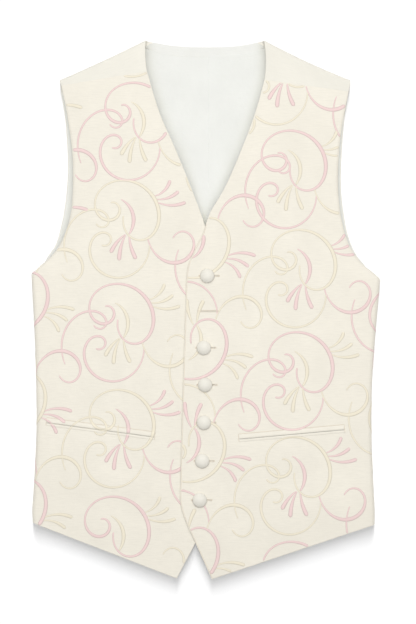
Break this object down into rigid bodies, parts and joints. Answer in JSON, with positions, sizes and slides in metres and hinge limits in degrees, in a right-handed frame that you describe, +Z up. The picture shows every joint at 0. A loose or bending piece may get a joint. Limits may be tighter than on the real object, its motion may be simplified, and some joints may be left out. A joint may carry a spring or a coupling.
{
  "type": "waistcoat",
  "caption": "Sleeveless V-neck waistcoat laid flat, fronts lapped and buttoned, with jetted pockets and a pointed hem.",
  "frame": {"origin": "middle of the garment's bounding box, on the surface that it lies on", "axes": "+X towards the wearer's left side, +Y from hem to shoulders, +Z up, away from the surface it lies on"},
  "size_m": [0.437, 0.6726, 0.0179],
  "materials": {
    "front_cloth": "cream slubbed silk-like cloth, soft sheen",
    "back_cloth": "plain cream cloth, soft sheen",
    "lining": "white lining cloth, slight sheen",
    "facing": "ivory facing cloth, matt",
    "button_cloth": "cream cloth stretched over a domed button",
    "pink_thread": "pale pink embroidery thread, soft sheen",
    "gold_thread": "pale gold embroidery thread, soft sheen"
  },
  "bodies": {
    "root": {"front_left": "front_cloth", "front_right": "front_cloth", "back_left": "back_cloth", "back_right": "back_cloth", "back_lining_left": "lining", "back_lining_right": "lining", "back_neck_facing": "facing", "pocket_left_upper_jet": "front_cloth", "pocket_left_lower_jet": "front_cloth", "pocket_right_upper_jet": "front_cloth", "pocket_right_lower_jet": "front_cloth", "button_1": "button_cloth", "button_2": "button_cloth", "button_3": "button_cloth", "button_4": "button_cloth", "button_5": "button_cloth", "button_6": "button_cloth"}
  },
  "joints": []
}
